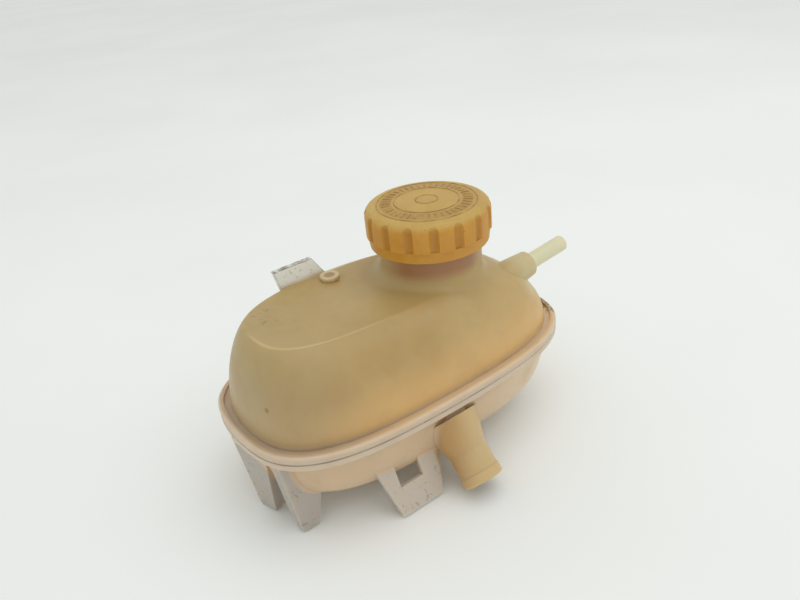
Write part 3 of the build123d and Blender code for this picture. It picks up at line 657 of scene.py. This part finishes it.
def relief_material(name):
    """The cap's plastic, darkened as dirt gathers along the raised marks."""
    shade = Shade(name)
    cloud = shade.noise(RELIEF_SCALE, *CLOUD_TEXTURE)
    body = shade.mix(shade.ramp(cloud, *MOTTLE_SPAN), *RELIEF_COLOURS)
    roughness = shade.ramp(cloud, *GLOSS_SPAN, *RELIEF_ROUGHNESS)
    shade.set(Base_Color=body, Roughness=roughness, IOR=PLASTIC_IOR)
    shade.set(Normal=shade.bump(shade.noise(CAP_GRAIN_SCALE), *CAP_GRAIN))
    return shade.material


def plain_material(name, colours, roughness, metallic=0.0, scale=PLAIN_SCALE):
    """Plastic, rubber or steel of an inner piece, with a fine mottle and grain."""
    shade = Shade(name)
    cloud = shade.noise(scale, *CLOUD_TEXTURE)
    shade.set(Base_Color=shade.mix(shade.ramp(cloud, *MOTTLE_SPAN), *colours))
    rougher = roughness + PLAIN_ROUGHNESS_RANGE
    shade.set(Roughness=shade.ramp(cloud, *GLOSS_SPAN, roughness, rougher), Metallic=metallic)
    shade.set(Normal=shade.bump(shade.noise(scale * PLAIN_GRAIN_TIMES, GRAIN_DETAIL), *PLAIN_GRAIN))
    return shade.material


def piece(name, points, faces, body, slot, material):
    """Smooth mesh piece that rides on a body."""
    mesh = bpy.data.meshes.new(name)
    mesh.from_pydata([tuple(point) for point in points], [], faces)
    mesh.shade_smooth()
    mesh.materials.append(material)
    made = bpy.data.objects.new(name, mesh)
    bpy.context.scene.collection.objects.link(made)
    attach(made, body)


def swept(sections, closed):
    """Points and faces of a skin over equal closed sections, joined end to end or capped."""
    count = len(sections[0])
    points = [point for section in sections for point in section]
    faces = []
    spans = len(sections) if closed else len(sections) - 1
    for span in range(spans):
        near = span * count
        far = (span + 1) % len(sections) * count
        for step in range(count):
            after = (step + 1) % count
            faces.append((near + step, near + after, far + after, far + step))
    if not closed:
        faces.append(tuple(reversed(range(count))))
        faces.append(tuple(range(len(points) - count, len(points))))
    return points, faces


def joined(skins):
    """Points and faces of several skins as one mesh."""
    points = []
    faces = []
    for more_points, more_faces in skins:
        faces += [tuple(corner + len(points) for corner in face) for face in more_faces]
        points += more_points
    return points, faces


def thread(name, root, crest, first_turn, body, slot, material):
    """Helical ridge about the neck's axis that fades in and out at its ends."""
    start, end = THREAD_SPAN
    turns = (end - start) / THREAD_PITCH
    steps = round(turns * THREAD_STEPS)
    sections = []
    for step in range(steps + 1):
        share = step / steps
        turn = 2 * pi * (turns * share + first_turn)
        height = start + THREAD_PITCH * turns * share
        fade = min(1.0, THREAD_FADE * share, THREAD_FADE * (1 - share))
        tip = root + (crest - root) * (THREAD_END + (1 - THREAD_END) * fade)
        sink = root - (crest - root) * THREAD_SINK
        corners = ((sink, -THREAD_ROOT), (root, -THREAD_ROOT), (tip, -THREAD_TIP), (tip, THREAD_TIP),
                   (root, THREAD_ROOT), (sink, THREAD_ROOT))
        sections.append([(neck.x + radius * cos(turn), neck.y + radius * sin(turn), height + rise)
                         for radius, rise in corners])
    points, faces = swept(sections, closed=False)
    if crest < root:
        faces = [tuple(reversed(face)) for face in faces]
    piece(name, points, faces, body, slot, material)


def crown_height(radius):
    """Height of the cap's crown at a distance from its middle."""
    return cap_high.z - CROWN_DROP * (radius / CROWN_RADIUS) ** 2


def crown_rings(name, rings, body, slot, material):
    """Low raised rings with rounded tops on the crown."""
    skins = []
    for inner, outer in rings:
        sections = []
        for step in range(RING_STEPS):
            turn = 2 * pi * step / RING_STEPS
            section = []
            for share, rise in RING_PROFILE:
                radius = inner + (outer - inner) * share
                section.append((neck.x + radius * cos(turn), neck.y + radius * sin(turn),
                                crown_height(radius) + rise))
            sections.append(section)
        skins.append(swept(sections, closed=True))
    piece(name, *joined(skins), body, slot, material)


def crown_bars(name, body, slot, material):
    """Ring of short raised radial bars on the crown."""
    inner, outer = BAR_SPAN
    skins = []
    for bar in range(BAR_COUNT):
        turn = 2 * pi * bar / BAR_COUNT
        out = Vector((cos(turn), sin(turn), 0))
        side = Vector((-sin(turn), cos(turn), 0))
        sections = []
        for share, swell in BAR_SWELL:
            radius = inner + (outer - inner) * share
            middle = Vector((neck.x, neck.y, crown_height(radius))) + out * radius
            half = BAR_WIDTH / 2 * swell
            rise = RELIEF_HEIGHT * swell
            shoulder = BAR_SHOULDER * rise
            flat = BAR_FLAT * half
            outline = ((-half, -RELIEF_SINK), (half, -RELIEF_SINK), (half, shoulder), (flat, rise),
                       (-flat, rise), (-half, shoulder))
            sections.append([middle + side * across + Vector((0, 0, up)) for across, up in outline])
        skins.append(swept(sections, closed=False))
    piece(name, *joined(skins), body, slot, material)


def seam_bead(name, body, slot, material):
    """Thin weld bead that follows the outer edge of the seam face."""
    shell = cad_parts["upper_shell"].data
    edge = {}
    for vertex in shell.vertices:
        if abs(vertex.co.z) < SEAM_TOLERANCE:
            turn = round(atan2(vertex.co.y, vertex.co.x), SEAM_TURN_DIGITS)
            if turn not in edge or vertex.co.length > edge[turn].length:
                edge[turn] = vertex.co.copy()
    rim = [edge[turn] for turn in sorted(edge)]
    rim = [spot for spot in rim if spot.length > SEAM_NEAREST]
    sections = []
    for index, spot in enumerate(rim):
        ahead = (rim[(index + 1) % len(rim)] - rim[index - 1]).normalized()
        out = Vector((ahead.y, -ahead.x, 0))
        section = []
        for step in range(BEAD_STEPS):
            turn = 2 * pi * step / BEAD_STEPS
            section.append(spot + out * (BEAD_RADIUS * cos(turn)) + Vector((0, 0, BEAD_RADIUS * sin(turn))))
        sections.append(section)
    piece(name, *swept(sections, closed=True), body, slot, material)


def coil(name, node, body, joint, fixed_height, travel):
    """Spring as a copy of its CAD mesh that rides on a body, with the CAD node hidden."""
    made = bpy.data.objects.new(name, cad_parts[node].data.copy())
    bpy.context.scene.collection.objects.link(made)
    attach(made, body)
    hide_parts(node)
    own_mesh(made)


# Looks of the CAD pieces
upper_plastic = tank_material("upper_plastic", upper_colours)
lower_plastic = tank_material("lower_plastic", lower_colours)
cap_plastic = cap_material("cap_plastic")
relief_plastic = relief_material("relief_plastic")
valve_plastic = plain_material("valve_plastic", VALVE_COLOURS, roughness=0.4)
rubber = plain_material("seal_rubber", RUBBER_COLOURS, roughness=0.6)
steel = plain_material("spring_steel", STEEL_COLOURS, roughness=0.25, metallic=1.0, scale=STEEL_SCALE)
bead_dirt = plain_material("bead_dirt", BEAD_COLOURS, roughness=0.5)
looks = {"upper_shell": upper_plastic, "lower_shell": lower_plastic, "cap_shell": cap_plastic,
         "valve_body": valve_plastic, "valve_cover": valve_plastic, "pressure_valve": valve_plastic,
         "vacuum_valve": valve_plastic, "neck_seal": rubber, "valve_seal": rubber,
         "pressure_spring": steel, "vacuum_spring": steel, "spring_clip": steel}
for node, look in looks.items():
    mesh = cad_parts[node].data
    mesh.materials.clear()
    mesh.materials.append(look)

# Pieces that are finer than the CAD model, and the springs, copied from their CAD meshes
thread("neck_thread", NECK_RADIUS, NECK_THREAD_CREST, NECK_THREAD_START, "tank", "tank_plastic",
       upper_plastic)
thread("cap_thread", CAP_BORE, CAP_THREAD_CREST, CAP_THREAD_START, "cap", "cap_plastic", cap_plastic)
crown_rings("cap_rings", RELIEF_RINGS, "cap", "cap_plastic", relief_plastic)
crown_bars("cap_bars", "cap", "cap_plastic", relief_plastic)
seam_bead("weld_bead", "tank", "tank_plastic", bead_dirt)
for spring in COILS:
    coil(*spring)

# Floor
half_floor = FLOOR_SIZE / 2
floor_height = cad_box[0].z - FLOOR_DROP
floor_mesh = bpy.data.meshes.new("floor")
floor_mesh.from_pydata([(-half_floor, -half_floor, floor_height), (half_floor, -half_floor, floor_height),
                        (half_floor, half_floor, floor_height), (-half_floor, half_floor, floor_height)],
                       [], [(0, 1, 2, 3)])
floor = bpy.data.objects.new("floor", floor_mesh)
bpy.context.scene.collection.objects.link(floor)
floor_shade = Shade("floor_paper")
paper = floor_shade.mix(floor_shade.ramp(floor_shade.noise(FLOOR_MOTTLE_SCALE), *MOTTLE_SPAN),
                        FLOOR_COLOUR, FLOOR_MOTTLE)
floor_shade.set(Base_Color=paper, Roughness=FLOOR_ROUGHNESS)
floor_mesh.materials.append(floor_shade.material)

# Light from all around, with a plain backdrop in the camera's sight
world = bpy.data.worlds.new("studio")
world.use_nodes = True
bpy.context.scene.world = world
sky = world.node_tree.nodes["Background"]
sky.inputs["Color"].default_value = SKY_COLOUR
sky.inputs["Strength"].default_value = WORLD_STRENGTH
backdrop = world.node_tree.nodes.new("ShaderNodeBackground")
backdrop.inputs["Color"].default_value = FLOOR_COLOUR
ray = world.node_tree.nodes.new("ShaderNodeLightPath")
seen = world.node_tree.nodes.new("ShaderNodeMixShader")
world.node_tree.links.new(ray.outputs["Is Camera Ray"], seen.inputs[0])
world.node_tree.links.new(sky.outputs[0], seen.inputs[1])
world.node_tree.links.new(backdrop.outputs[0], seen.inputs[2])
world.node_tree.links.new(seen.outputs[0], world.node_tree.nodes["World Output"].inputs["Surface"])

# Soft key light
key_lamp = bpy.data.lights.new("key", "AREA")
key_lamp.shape = "DISK"
key_lamp.size = KEY_SIZE
key_lamp.energy = KEY_POWER
key = bpy.data.objects.new("key", key_lamp)
key.location = KEY_PLACE
key.rotation_mode = "QUATERNION"
key.rotation_quaternion = (-Vector(KEY_PLACE)).to_track_quat("-Z", "Y")
bpy.context.scene.collection.objects.link(key)

# Camera
lens = bpy.data.cameras.new("camera")
lens.sensor_width = SENSOR_WIDTH
lens.lens = CAMERA_LENS
lens.clip_start = CAMERA_NEAR
lens.clip_end = CAMERA_FAR
camera = bpy.data.objects.new("camera", lens)
right = Vector(CAMERA_RIGHT).normalized()
back = -Vector(CAMERA_FORWARD).normalized()
up = back.cross(right)
camera.matrix_world = Matrix.Translation(CAMERA_PLACE) @ Matrix((right, up, back)).transposed().to_4x4()
bpy.context.scene.collection.objects.link(camera)
bpy.context.scene.camera = camera
bpy.context.scene.view_settings.view_transform = "Standard"
